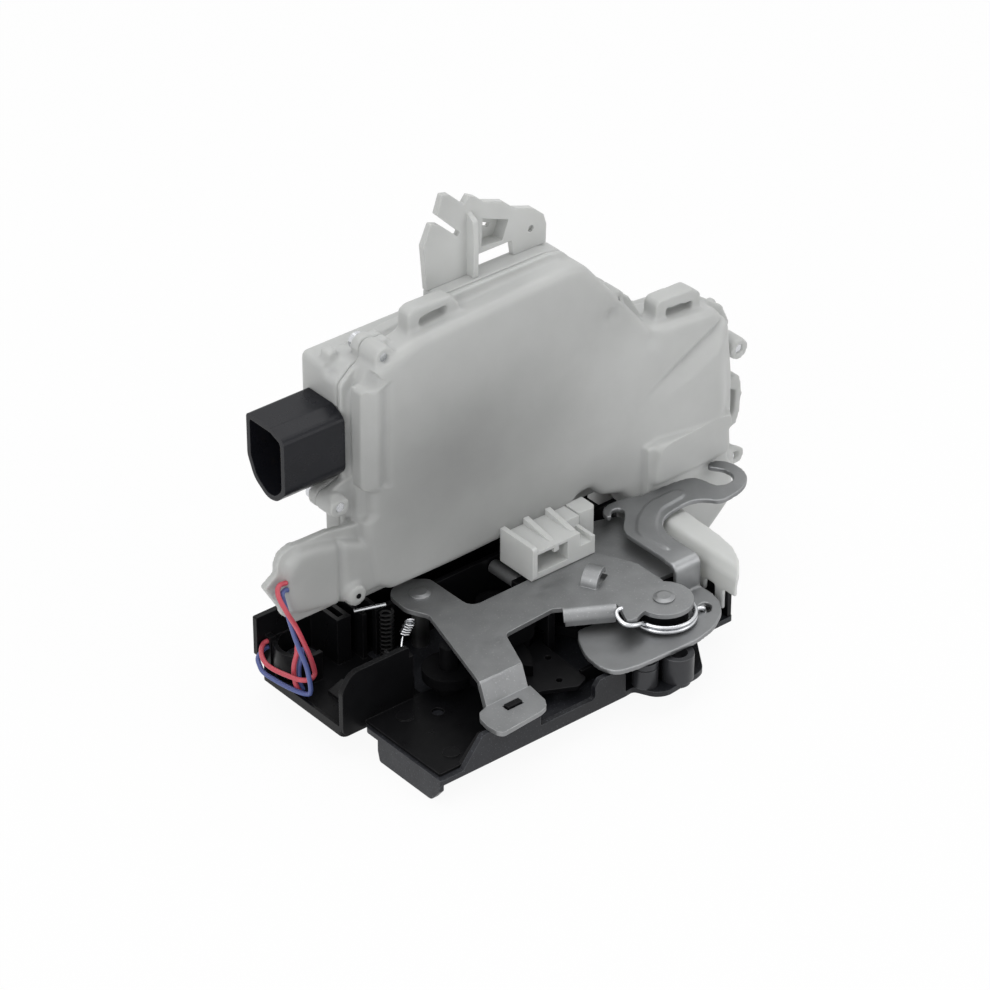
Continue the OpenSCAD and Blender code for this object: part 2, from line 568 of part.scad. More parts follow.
module outer_release_lever() color(grey) placed() difference() {
    union() {
        plate(blade_pts, [2, 14, 14, 9, 9, 0, 0, 20, 16, 12, 10, 0, 0.5, 0, 3], blade_z - sheet_t, sheet_t);
        block([116.5, web_y, blade_z - eps], [127.8, web_y + sheet_t, arm_z - sheet_t + eps]);
        plate(arm_pts, [1, 1.6, 2, 3, 4, 3, 2, 2, 1, 2, 2, 2, 2, 1, 1, 1, 2, 3, 3, 3, 2, 3, 2, 3, 3,
                        3, 3, 2, 1, 1, 2, 4, 2, 1, 1, 1, 1, 1], arm_z - sheet_t, sheet_t);
        plate(rib_pts, [2, 2, 3, 4, 4, 2, 2, 4, 4, 3], arm_z - eps, 0.5);
    }
    translate([lever_at.x, lever_at.y, 0]) cylinder(r = rivet_r + run_gap, h = 20);
    difference() {
        block([115, web_y - 1, arm_z - bend_r], [129, web_y + bend_r, arm_z + 1]);
        translate([114, web_y + bend_r, arm_z - bend_r]) rotate([0, 90, 0]) cylinder(r = bend_r, h = 16);
    }
    plate([hole_a + [-1.7, 1.4], hole_a + [-1.4, -1.7], hole_a + [1.7, -1.4],
           hole_b + [1.7, -1.4], hole_b + [1.4, 1.7], hole_b + [-1.7, 1.4]], 1.8, 10, 6);
}

// Return spring of the outer lever: left leg hooked in the back plate, right leg down in the slot
spring_low = blade_z + face_gap + spring_wire_r;
module lever_spring() color(zinc) placed() {
    left_leg = [[89.6, 14.6, back_z + 1.1], [88, 14.9, back_z + 1.1], [86.4, 14.2, back_z + 0.9],
                [85.6, 12.2, back_z], [85.8, 9.8, back_z - 0.8], [87.2, 8.2, back_z - 1.4],
                [89.8, 7.6, back_z - 2], [92.6, 8, back_z - 2.8], [94.4, 8.6, spring_low + 2.8]];
    turns = coil(lever_at, spring_coil_r, spring_low + 2.3, spring_low, 1.37, 204, 15);
    right_leg = [[116.6, 6.9, spring_low + 0.1], [118.2, 6.5, spring_low],
                 [118.8, 6.4, blade_z], [118.8, 6.4, blade_z - sheet_t]];
    wire(concat(left_leg, turns, right_leg), spring_wire_r, 8);
}

// Lever with a rolled eye on a pin along Y
eye_y0 = 55.4;
eye_y1 = 68.4;
module transfer_lever() color(grey) placed() difference() {
    union() {
        rod_y(knuckle_x, knuckle_z, knuckle_r, eye_y0, eye_y1);
        plate([[knuckle_x, 57], [92, 57], [95, 60], [95, 63], [92, 66.4], [knuckle_x, 66.4]],
              [0, 2, 2, 2, 2, 0], knuckle_z - knuckle_r, 1.4);
    }
    rod_y(knuckle_x, knuckle_z, knuckle_pin_r + run_gap, eye_y0 - 1, eye_y1 + 1);
}
module transfer_pin() color(zinc) placed() rod_y(knuckle_x, knuckle_z, knuckle_pin_r, eye_y0 - 3.4, 70.8);

// Outlines of the module in x and z, anticlockwise seen from the front
cover_pts = [[31.7, 29.1], [59.6, 29.4], [85.7, 30], [103, 30], [108.5, 30.4], [112, 34], [117.5, 34.2],
             [122.5, 29], [132, 26], [139, 14], [142, -flange_drop], [168, -flange_drop], [182, 4],
             [183, 20], [182, 56], [180, 77], [174, 84], [150, 87], [144, 88], [138.6, 94.6],
             [115.5, 122.4], [107.5, 124.4], [43.5, 122], [26.1, 117.2], [21.4, 106], [20.8, 54.4],
             [25, 33]];
cover_r = [5, 5, 5, 5, 3.6, 3.6, 3.6, 3, 4, 6, 6, 12, 6, 5, 8, 5, 5, 5, 5, 5, 8, 5, 6, 5, 5, 5, 5];
lobe_front = [[-9.5, 35.6], [14, 30.9], [30, 31], [30, 49], [12, 56.2], [2.2, 58.8], [-6, 59.7],
              [-10.6, 56], [-11, 46]];
lobe_back = [[-5.8, 30.6], [22, 30.6], [22, 58], [8, 60.4], [-7.5, 61], [-11.6, 59], [-13, 55],
             [-12.8, 52.4], [-18, 48.9], [-11.6, 38], [-11, 35.4]];
rim_z = 127;
flange_pts = [[24, module_z], [136, module_z], [142, -flange_drop], [168, -flange_drop], [184, 6],
              [184.6, 60], [187.4, 68], [184, 76], [174, 82.6], [148, 86.6], [141.6, 97.2], [125.4, 110.8],
              [112, 125.6], [106, rim_z], [60, rim_z], [60, 118], [24, 115], [18, 110], [18, 36]];
flange_r = [3, 2, 3, 10, 4, 4, 3, 3, 3, 2, 2, 3, 4, 4, 1, 1, 3, 3, 4];

// Rim plate of the cover, slightly higher at the top right
rim_t = 2.2;
rim_pts = concat([for (i = [0:5]) flange_pts[i]], [[188, 70], [184.6, 77.6], [172, 86.6], [157, 90]],
                 [for (i = [9:18]) flange_pts[i]]);
rim_r = concat([for (i = [0:5]) flange_r[i]], [3, 3, 4, 4], [for (i = [9:18]) flange_r[i]]);
deep_pts = [[57, module_z], [136, module_z], [142, -flange_drop], [166, -flange_drop], [180, 4], [180, 70],
            [170, 78], [142, 82], [112, 113.8], [18, 113.8], [18, 70], [57, 70]];
deep_r = [2, 2, 3, 8, 4, 4, 4, 4, 4, 2, 2, 4];
step_y = 82.8;
bulge_top = [[141, arm_z + 0.9], [178, arm_z + 0.9], [177, 44], [143, 44]];
bulge_low = [[147, -flange_drop + 1], [166, -flange_drop + 1], [179, 5], [179, blade_z + 9.4],
             [147, blade_z + 9.4]];
bulge_d = 5.4;

module screw_holes(y0, y1, r) for (p = screw_at) rod_y(p.x, p.y, r, y0, y1);

// Frame clip on the cover's rim: outline, window and depth behind its front face
module clip(outer, window, y, d) difference() {
    panel(outer, 1, y, d);
    panel(window, 0.4, y - 1, d + 2);
}

module ears(y) {
    for (web = [[[26, 112], [38, 114], [37, 122.6], [29, 120.6]],
                [[11.4, 65.4], [22, 58], [22, 76], [12, 73]],
                [[14.6, 31], [20, 28], [26, 30], [24, 44], [16, 38]],
                [[178, 54], [187, 58.6], [187, 66.4], [178, 72]],
                [[178, 12], [185, 14.8], [185, 22.6], [178, 28]],
                [[124, 99], [134, 94], [132.4, 106], [127, 108]]])
        panel(web, 1.4, y, ear_t);
}
module front_cover() color(milk) placed() difference() {
    union() {
        difference() {
            union() {
                pillow(smooth(cover_pts, cover_r, 3), cover_y, part_y, edge_r);
                pillow(smooth(lobe_front, 5, 3), cover_y + 1.4, 71, 3);
                panel(lobe_back, [2, 2, 3, 4, 4, 3, 2, 1, 1, 1, 2], 68, 3);
                pillow(smooth(bulge_top, 3.4, 3), cover_y - bulge_d, part_y, 2.6);
                pillow(smooth(bulge_low, [5, 8, 5, 4, 4], 3), cover_y - 3.4, part_y, 2.6);
                clip([[43, 118], [64.7, 118], [64.7, 125.6], [60.8, 129.8], [46.4, 130.2], [43.4, 128.8]],
                     [[48, 122.6], [59.8, 123.4], [59.8, 126.6], [48, 125.8]], 69, part_y - 69);
                clip([[149.4, 81], [170, 80], [170, 90.4], [165.8, 93.6], [151.2, 94], [149.6, 92.6]],
                     [[154, 86.6], [166.6, 85.6], [166.6, 88.4], [154, 89.8]], 68, part_y - 68);
                clip([[181, 27.5], [189.6, 29], [191.3, 34], [191.9, 41.3], [190.7, 48.8], [181, 49]],
                     [[184.4, 32], [188.4, 34], [188.8, 43.6], [184.4, 45]], 69.4, part_y - 69.4);
                panel(rim_pts, rim_r, part_y - rim_t, rim_t);
            }
            panel(inset(cover_pts, shell_t), 2, cover_y + shell_t, 20);
        }
        for (p = screw_at) rod_y(p.x, p.y, boss_r, part_y - boss_front, part_y);
        ears(part_y - ear_t);
    }
    screw_holes(part_y - boss_front - 1, part_y + 1, screw_r);
}

// Rear housing: rim, middle step and the deep part over the drives
inner_y = rear_y - shell_t;
head_y = part_y + ear_t + 2.3;
motor_back = 90.9;
module rear_housing() color(milk) placed() difference() {
    union() {
        difference() {
            union() {
                panel(flange_pts, flange_r, part_y, step_y - part_y);
                panel(deep_pts, deep_r, step_y - eps, rear_y - step_y + eps);
            }
            panel(inset(flange_pts, shell_t), 1.2, part_y - 1, step_y - part_y + 1 - shell_t);
            panel(inset(deep_pts, shell_t), 1.6, part_y + 2, inner_y - part_y - 2);
            screw_holes(part_y - 1, step_y + 1, boss_r - 0.4);
        }
        for (p = screw_at) rod_y(p.x, p.y, boss_r, part_y, part_y + ear_t);
        ears(part_y);
        for (i = [0:2]) rod_y(182 + 1.9 * i, 78 - 3.4 * i, 1.9, part_y, part_y + 3);
        panel([[20, 113], [34, 113], [34, 117.4], [31, 117.4], [31, 115.6], [24, 115.6], [24, 117.8],
               [20, 117.8]], 0.4, head_y, 5);
        panel([[38, 113], [58, 113], [58, 119], [38, 117.6]], 0.6, head_y, 4);
        for (x = [41, 56]) block([x, motor_back, 94], [x + 1.6, inner_y + eps, 106]);
        for (x = [100, 115]) block([x, motor_back, 66], [x + 1.6, inner_y + eps, 78]);
    }
    screw_holes(part_y - 1, part_y + ear_t + 1, screw_r);
}

// Hood beside the lever: curved roof, wall and two legs
guard_x = 132.3;
module side_guard() color(milk) placed() intersection() {
    union() {
        translate([0, 65, 0]) rotate([90, 0, 0]) linear_extrude(62) polygon(smooth(
            [[guard_x, 13.4], [guard_x + 1.5, 13.4], [guard_x + 1.7, 18], [136.6, 21.4], [152, 20.4],
             [152, 22], [136, 23.4], [133.2, 19.6]], [0, 0, 3, 2, 0, 0, 3, 4]));
        block([guard_x, 11.9, 5.4], [guard_x + 1.5, 16.3, 13.6]);
        block([guard_x, 21, 9], [guard_x + 1.5, 26, 13.6]);
        block([guard_x, 26, 10.8], [guard_x + 1.5, 34, 13.6]);
    }
    plate([[130, cover_y], [130, 8], [133.6, 5.4], [139, 11.6], [143, 19], [144.6, 28], [146.4, cover_y]],
          [0, 2, 3, 4, 6, 10, 0], 0, 30);
}

// Cable holder in front of the cover: side wall, ribs, window and the block beside it
hold_x = 77;
hold_y = 46;
hold_z = back_z + 0.3;
deck_z = 33;
module rib_top(x, w, z_front) side_panel([[hold_y + 1, deck_z - 3], [hold_y + 1, z_front], [cover_y, 35.5],
    [cover_y, deck_z - 3]], [0, 0.8, 0, 0], x, w);
module cable_holder() color([0.9, 0.9, 0.87]) placed() {
    difference() {
        block([hold_x, hold_y + 0.8, hold_z], [105, cover_y, deck_z]);
        block([hold_x + 2, hold_y - 1, hold_z + 2.4], [93, cover_y - 2, deck_z - 1.2]);
        block([98.4, hold_y - 1, 27.6], [103.6, cover_y - 8, 40]);
        block([98.4, hold_y - 1, 29.4], [110, cover_y - 8, 40]);
    }
    side_panel([[hold_y, hold_z], [cover_y, hold_z], [cover_y, 35.5], [hold_y, 35.5]],
               [1.6, 0, 0, 1.2], hold_x, 2);
    rib_top(87, 2.2, 32.6);
    rib_top(96.4, 2.1, 32.6);
    block([87, hold_y + 0.8, deck_z - 3], [88.4, hold_y + 3, deck_z]);
    plate([[105.6, 56], [113, 55.4], [113, cover_y], [105.6, cover_y]], [1, 2, 0, 0], hold_z, 11);
}

// Cable bracket on the housing's top: slotted plate, window box, strut and end tab
bracket_y = 79.6;
bracket_pts = [[59.6, 126.5], [58.2, 143.8], [61.5, 151], [64.8, 149.8], [72.6, 142.6], [73.4, 144],
               [63.9, 153.6], [66.2, 160.2], [69.2, 159.4], [75.2, 153.6], [77.3, 156.2], [80.6, 154.4],
               [83.4, 151.8], [91.9, 148.8], [96.6, 144.6], [104.7, 141.8], [109, 138], [110.2, 134],
               [109.8, 122], [96.5, 125], [95.2, 134], [80.4, 134.6], [77, 126.5]];
function flipped(pts) = [for (i = [len(pts) - 1:-1:0]) pts[i]];
module top_bracket() color(milk) placed() difference() {
    union() {
        intersection() {
            panel(flipped(bracket_pts), 0.5, bracket_y, 2.4);
            block([50, bracket_y, rim_z], [120, bracket_y + 3, 170]);
        }
        panel([[80.4, 133], [97.6, 133], [98, 143], [81, 149.6]], 0.6, bracket_y, 6.4);
        side_panel([[bracket_y + 1, rim_z], [bracket_y + 1, 151], [bracket_y - 3.4, 148],
                    [bracket_y - 3.8, 139], [76, rim_z]], [0, 0, 1.4, 3, 0.4], 76.2, 2);
    }
    panel([[82.4, 135.4], [91.4, 134.4], [94, 141.4], [83, 145.6]], 0.3, bracket_y - 1, 6);
    panel([[82.4, 141.4], [83.4, 142.4], [90, 139.4], [89, 138.2]], 0.2, bracket_y - 1, 10);
    rod_y(103.6, 134.4, 1.2, bracket_y - 1, bracket_y + 1.4);
}

// Connector shroud with a flat top, a rounded lower side and a deep socket
shroud_pts = [[70.4, 79.5], [74.8, 75], [80, 74], [87, 78.5], [90.4, 86], [90.4, 102], [76.9, 102],
              [70.4, 99.4]];
module connector_shell() color(black) placed() difference() {
    side_panel(shroud_pts, [5, 6, 8, 8, 6, 1.6, 2.4, 3], 18 - shroud_l + 3, shroud_l - 3.3);
    side_panel(inset(shroud_pts, shroud_t), [4, 4.5, 6, 6, 4.5, 1, 1.4, 2], 18 - shroud_l, shroud_l - 4);
}
module connector_contacts() color(brass) placed()
    for (z = [82, 86, 90, 94]) for (y = [78, 84]) block([2, y, z], [14, y + blade_w, z + 2 * blade_w]);
module contact_carrier() color(black) placed()
    panel([[20.4, 76.4], [57, 76.4], [57, 91], [20.4, 91]], 1, inner_y - 1.6, 1.6);

// Housing screws: pan heads on the ears, tips in the cover's bosses
module housing_screws() color(zinc) placed() for (p = screw_at) {
    rod_y(p.x, p.y, screw_r, part_y - boss_front + 0.4, part_y + ear_t);
    rod_y(p.x, p.y, 3, part_y + ear_t, part_y + ear_t + 2);
}

// Motors, worms and wheels between the shells
lock_motor_at = [36, 82, 100];
safe_motor_at = [96, 82, 72];
wheel_gap = 0.3;
lock_wheel_at = [73, lock_motor_at.z - worm_r - lock_wheel_r - wheel_gap];
safe_wheel_at = [134, safe_motor_at.z - worm_r - safe_wheel_r - wheel_gap];
module motor(at) {
    rod_x(at.y, at.z, motor_r, at.x, at.x + motor_l);
    rod_x(at.y, at.z, 3, at.x + motor_l - eps, at.x + motor_l + 1.6);
}
module worm(at) difference() {
    union() {
        rod_x(at.y, at.z, shaft_r, at.x + motor_l + 1.6 + face_gap, at.x + motor_l + 24);
        for (i = [0:6]) translate([at.x + motor_l + 4.4 + 2.2 * i, at.y, at.z]) rotate([0, 90, 0]) {
            cylinder(r1 = worm_r - 1, r2 = worm_r, h = 0.8);
            translate([0, 0, 0.8 - eps]) cylinder(r1 = worm_r, r2 = worm_r - 1, h = 0.8);
        }
        rod_x(at.y, at.z, worm_r - 1, at.x + motor_l + 3.6, at.x + motor_l + 21);
    }
}
module wheel(at, r) difference() {
    rod_y(at.x, at.y, r, 79, 85);
    rod_y(at.x, at.y, 1.5 + run_gap, 70, 95);
    for (i = [0:wheel_teeth - 1]) translate([at.x, 0, at.y]) rotate([0, i * 360 / wheel_teeth, 0])
        translate([r - 1.4, 78, -0.5]) cube([3, 8, 1]);
}
module lock_motor() color(zinc) placed() motor(lock_motor_at);
module safe_motor() color(zinc) placed() motor(safe_motor_at);
module lock_worm() color(black) placed() worm(lock_motor_at);
module safe_worm() color(black) placed() worm(safe_motor_at);
module lock_wheel() color(milk) placed() wheel(lock_wheel_at, lock_wheel_r);
module safe_wheel() color(milk) placed() wheel(safe_wheel_at, safe_wheel_r);
module lock_wheel_axle() color(zinc) placed() rod_y(lock_wheel_at.x, lock_wheel_at.y, 1.5, 76, inner_y);
module safe_wheel_axle() color(zinc) placed() rod_y(safe_wheel_at.x, safe_wheel_at.y, 1.5, 76, inner_y);
lock_lever_at = [98, 46];
module lock_lever() color(milk) placed() difference() {
    translate([0, 84, 0]) rotate([90, 0, 0]) union() {
        link(lock_lever_at, 6, lock_lever_at + [-16, 10], 3, 4);
        link(lock_lever_at, 6, lock_lever_at + [2, -14], 3, 4);
    }
    rod_y(lock_lever_at.x, lock_lever_at.y, 2 + run_gap, 70, 95);
}
module lock_lever_axle() color(zinc) placed() rod_y(lock_lever_at.x, lock_lever_at.y, 2, 76, inner_y);
module microswitch(at) {
    block(at, at + [12.8, 6, 6.4]);
    block(at + [1, 1.6, 6.4 - eps], at + [3, 4.4, 7.6]);
}
module catch_switch() color(black) placed() microswitch([40, step_y - shell_t - 6, 32]);
module lock_switch() color(black) placed() microswitch([108, inner_y - 6, 30]);

// Routes of the two leads, from the module to the clip in the tray
red_route = [[-10.2, 66.8, 49], [-11.8, 66.6, 49.4], [-13.6, 66, 49.8], [-15.2, 65, 49],
             [-15.7, 63.3, 46.6], [-14.2, 61.4, 41.6], [-10.7, 61.5, 34.4], [-7.8, 61.6, 27.1],
             [-5.1, 62, 20.2], [-3.3, 62.4, 14.4], [-3.2, 62.3, 11.8], [-5.2, 62.2, 10.8],
             [-7.7, 64.3, 10.6], [-9.4, 68.9, 10.6], [-11, 73.6, 11], [-11.4, 77.8, 11.4],
             [-10.4, 81.5, 12], [-8.4, 84.4, 12.6], [-6.2, 86, 13], [-4.9, 86, 13.2]];
blue_route = [[-10.2, 66.4, 46.4], [-11.8, 66, 47], [-13.4, 64.9, 46.9], [-13.5, 64.4, 45.2],
              [-11.8, 63.3, 35.9], [-10.3, 62.9, 29.5], [-8.5, 62.2, 22.6], [-7.3, 61.2, 17.6],
              [-6.8, 60.4, 12.8], [-6.4, 60.3, 9], [-6.2, 60.9, 6.4], [-6.4, 62.6, 5.2],
              [-7.4, 65.6, 4.9], [-8.8, 69.8, 5.2], [-10.3, 74.8, 6], [-11.7, 79, 7.4],
              [-11.2, 81.9, 8.6], [-9.8, 84.5, 9.6], [-6.4, 86, 10.6], [-4.9, 86, 10.8]];
module red_lead() color(red) placed() wire(red_route, lead_r);
module blue_lead() color(blue) placed() wire(blue_route, lead_r);

face_plate();
fixing_bush_front();
fixing_bush_rear();
spacer_post();
latch_housing();
mouth_guide();
back_plate();
support_plate();
plate_rivet();
lever_rivet();
lever_bush();
catch_pin();
pawl_pin();
catch();
pawl();
striker_bumper();
catch_spring();
pawl_spring();
spring_rod();
outer_release_lever();
lever_spring();
transfer_lever();
transfer_pin();
front_cover();
rear_housing();
side_guard();
cable_holder();
top_bracket();
connector_shell();
connector_contacts();
contact_carrier();
housing_screws();
lock_motor();
lock_worm();
lock_wheel();
lock_wheel_axle();
safe_motor();
safe_worm();
safe_wheel();
safe_wheel_axle();
lock_lever();
lock_lever_axle();
catch_switch();
lock_switch();
red_lead();
blue_lead();
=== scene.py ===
"""Looks for the door latch actuator: materials, camera, light and the small formed pieces."""
import json
import math

import bmesh
import bpy
import numpy as np
from mathutils import Euler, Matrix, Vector


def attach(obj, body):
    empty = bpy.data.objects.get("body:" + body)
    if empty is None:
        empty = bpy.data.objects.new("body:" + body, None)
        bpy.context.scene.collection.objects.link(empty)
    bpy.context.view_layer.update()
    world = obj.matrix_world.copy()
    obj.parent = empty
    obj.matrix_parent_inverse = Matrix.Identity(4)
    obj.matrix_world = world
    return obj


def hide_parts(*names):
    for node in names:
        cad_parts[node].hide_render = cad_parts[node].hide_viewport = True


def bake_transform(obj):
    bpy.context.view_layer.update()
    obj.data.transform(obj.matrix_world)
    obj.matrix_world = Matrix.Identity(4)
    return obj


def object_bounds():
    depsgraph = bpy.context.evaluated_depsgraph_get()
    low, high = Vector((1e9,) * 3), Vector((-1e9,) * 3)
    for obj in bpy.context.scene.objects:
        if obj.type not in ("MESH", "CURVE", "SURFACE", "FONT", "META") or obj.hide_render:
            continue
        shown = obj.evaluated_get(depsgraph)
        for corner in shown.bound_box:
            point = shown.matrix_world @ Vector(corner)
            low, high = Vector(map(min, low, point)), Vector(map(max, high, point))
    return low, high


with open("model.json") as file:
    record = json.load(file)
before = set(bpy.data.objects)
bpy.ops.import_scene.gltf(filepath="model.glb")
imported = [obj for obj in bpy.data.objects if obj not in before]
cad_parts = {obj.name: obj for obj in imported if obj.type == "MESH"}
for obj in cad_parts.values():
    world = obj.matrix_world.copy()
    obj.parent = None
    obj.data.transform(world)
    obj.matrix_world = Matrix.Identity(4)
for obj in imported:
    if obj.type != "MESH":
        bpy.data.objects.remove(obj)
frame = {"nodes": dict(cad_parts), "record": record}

nodes = frame["nodes"]
MM = 0.001
# the frame's origin, given from the face plate's left front corner, in millimetres
ORIGIN = (98, -4, 0)


def as_lists(bounds):
    return [[float(c) for c in corner] for corner in bounds]


cad_box = as_lists(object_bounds())


def at(x, y, z):
    """A point given from the face plate's left front corner, in millimetres, as part.scad has it."""
    return Vector(((x - ORIGIN[0]) * MM, (y - ORIGIN[1]) * MM, (z - ORIGIN[2]) * MM))


# ---------------------------------------------------------------- camera
PIXELS = 990
FOCAL_PIXELS = 4500
SENSOR = 36
AZIMUTH = -39.5
ELEVATION = 33.0
camera_data = bpy.data.cameras.new("camera")
camera_data.sensor_width = SENSOR
camera_data.lens = FOCAL_PIXELS / PIXELS * SENSOR
camera_data.clip_end = 10
camera = bpy.data.objects.new("camera", camera_data)
camera.location = (-0.8263, -0.9069, 0.8696)
camera.rotation_euler = Euler((math.radians(90 - ELEVATION), 0, math.radians(AZIMUTH)))
bpy.context.scene.collection.objects.link(camera)
bpy.context.scene.camera = camera
bpy.context.scene.view_settings.view_transform = "Standard"


# ---------------------------------------------------------------- materials
# sockets of the colour mix node: factor, the two colours, result
MIX_FACTOR, MIX_A, MIX_B, MIX_RESULT = 0, 6, 7, 2


def operate(tree, kind, operation, *values, clamp=False):
    """A math or vector math node with the values linked or set on its inputs."""
    node = tree.nodes.new(kind)
    node.operation = operation
    if clamp:
        node.use_clamp = True
    for socket, value in zip(node.inputs, values):
        if isinstance(value, bpy.types.NodeSocket):
            tree.links.new(value, socket)
        else:
            socket.default_value = value
    return node.outputs


def noise(tree, scale, detail=3, rough=0.5):
    """Noise that sticks to the object, from 0 to 1."""
    place = tree.nodes.new("ShaderNodeTexCoord")
    texture = tree.nodes.new("ShaderNodeTexNoise")
    texture.inputs["Scale"].default_value = scale
    texture.inputs["Detail"].default_value = detail
    texture.inputs["Roughness"].default_value = rough
    tree.links.new(place.outputs["Object"], texture.inputs["Vector"])
    return texture.outputs["Fac"]


def ramp(tree, value, low, high, a, b, way="LINEAR"):
    """The value mapped from low..high to a..b and clamped there."""
    node = tree.nodes.new("ShaderNodeMapRange")
    node.interpolation_type = way
    node.inputs["From Min"].default_value = low
    node.inputs["From Max"].default_value = high
    node.inputs["To Min"].default_value = a
    node.inputs["To Max"].default_value = b
    tree.links.new(value, node.inputs["Value"])
    return node.outputs["Result"]


def mix(tree, factor, a, b, blend="MIX"):
    """Two colours mixed by the factor; each is a socket or a plain colour."""
    node = tree.nodes.new("ShaderNodeMix")
    node.data_type = "RGBA"
    node.blend_type = blend
    for socket, value in ((node.inputs[MIX_A], a), (node.inputs[MIX_B], b)):
        if isinstance(value, (tuple, list)):
            socket.default_value = (*value, 1)
        else:
            tree.links.new(value, socket)
    tree.links.new(factor, node.inputs[MIX_FACTOR])
    return node.outputs[MIX_RESULT]


def place_shade(tree, base, painted_light_and_shade):
    """Painted light and shade: colour made darker or lighter in soft round patches: (centre, radii, factor),
    in millimetres.
    """
    where = tree.nodes.new("ShaderNodeTexCoord").outputs["Object"]
    for centre, radii, factor in painted_light_and_shade:
        away = operate(tree, "ShaderNodeVectorMath", "SUBTRACT", where, at(*centre))[0]
        share = operate(tree, "ShaderNodeVectorMath", "DIVIDE", away, Vector(radii) * MM)[0]
        reach = operate(tree, "ShaderNodeVectorMath", "LENGTH", share)["Value"]
        fade = ramp(tree, reach, 0, 1, 1, 0, "SMOOTHSTEP")
        base = mix(tree, fade, base, (factor, factor, factor), "MULTIPLY")
    return base


def scaled(colour, k):
    return tuple(min(1, c * k) for c in colour)


WORN_NORMALS = (0.985, 0.8)
GRAIN_DEPTH = 0.0002
SUB_SCALE = 0.004


def material(name, colour, rough=(0.4, 0.5), metallic=0.0, mottle=0.06, mottle_scale=60,
             grain=0.05, grain_scale=2500, edge=0.0003, worn=None, wear=0.0, speck=None,
             specular=0.5, sub=0.0, painted_light_and_shade=()):
    """A surface with mottled colour, uneven roughness, fine grain, soft edges, brighter worn edges and
    painted light and shade in soft patches.
    """
    made = bpy.data.materials.new(name)
    made.use_nodes = True
    tree = made.node_tree
    shader = tree.nodes["Principled BSDF"]
    cloud = ramp(tree, noise(tree, mottle_scale, 4, 0.55), 0.3, 0.7, 0, 1)
    base = mix(tree, cloud, scaled(colour, 1 - mottle), scaled(colour, 1 + mottle))
    if speck:
        dots = noise(tree, speck[1], 2, 0.5)
        base = mix(tree, ramp(tree, dots, speck[2], speck[2] + 0.08, 0, 1), base, speck[0])
    base = place_shade(tree, base, painted_light_and_shade)
    if worn:
        bevel = tree.nodes.new("ShaderNodeBevel")
        bevel.samples = 4
        bevel.inputs["Radius"].default_value = edge * 1.6
        geometry = tree.nodes.new("ShaderNodeNewGeometry")
        facing = operate(tree, "ShaderNodeVectorMath", "DOT_PRODUCT", bevel.outputs["Normal"],
                         geometry.outputs["True Normal"])["Value"]
        rim = ramp(tree, facing, *WORN_NORMALS, 0, 1)
        patch = ramp(tree, noise(tree, 180, 3), 0.35, 0.6, 0.25, 1)
        both = operate(tree, "ShaderNodeMath", "MULTIPLY", rim, patch, clamp=True)[0]
        base = mix(tree, ramp(tree, both, 0, 1, 0, wear), base, worn)
    tree.links.new(base, shader.inputs["Base Color"])
    uneven = noise(tree, mottle_scale * 2.3, 5, 0.6)
    tree.links.new(ramp(tree, uneven, 0.3, 0.7, rough[0], rough[1]), shader.inputs["Roughness"])
    shader.inputs["Metallic"].default_value = metallic
    shader.inputs["Specular IOR Level"].default_value = specular
    if sub:
        shader.inputs["Subsurface Weight"].default_value = sub
        shader.inputs["Subsurface Radius"].default_value = (1.0, 1.0, 0.9)
        shader.inputs["Subsurface Scale"].default_value = SUB_SCALE
    round_edge = tree.nodes.new("ShaderNodeBevel")
    round_edge.samples = 4
    round_edge.inputs["Radius"].default_value = edge
    bump = tree.nodes.new("ShaderNodeBump")
    bump.inputs["Strength"].default_value = grain
    bump.inputs["Distance"].default_value = GRAIN_DEPTH
    tree.links.new(noise(tree, grain_scale, 3, 0.6), bump.inputs["Height"])
    tree.links.new(round_edge.outputs["Normal"], bump.inputs["Normal"])
    tree.links.new(bump.outputs["Normal"], shader.inputs["Normal"])
    return made


# black coated steel and satin sheet, each also used in a copy with painted shade
COATED = dict(colour=(0.020, 0.021, 0.025), rough=(0.32, 0.46), metallic=0.2, mottle=0.16, mottle_scale=90,
              grain=0.16, grain_scale=1800, worn=(0.11, 0.115, 0.125), wear=0.75,
              speck=((0.07, 0.075, 0.085), 1500, 0.62))
SATIN = dict(colour=(0.27, 0.275, 0.28), rough=(0.38, 0.50), metallic=0.75, mottle=0.07, mottle_scale=130,
             grain=0.12, grain_scale=3200, worn=(0.52, 0.53, 0.54), wear=0.8)
# painted light and shade on the milky cover, as (centre, radii, factor): lighter at the top and lower right,
# darker low in the middle, on the left and near the corner screw, where less light falls and the dark parts
# behind show through
MILKY_PAINTED_LIGHT_AND_SHADE = [((56, 63, 68), (90, 60, 58), 0.57), ((95, 63, 30), (60, 40, 26), 0.63),
                ((0, 60, 45), (30, 30, 30), 0.84), ((87, 80, 138), (42, 40, 24), 1.14),
                ((130, 63, 104), (40, 40, 28), 0.88), ((168, 66, 14), (24, 18, 17), 1.22)]
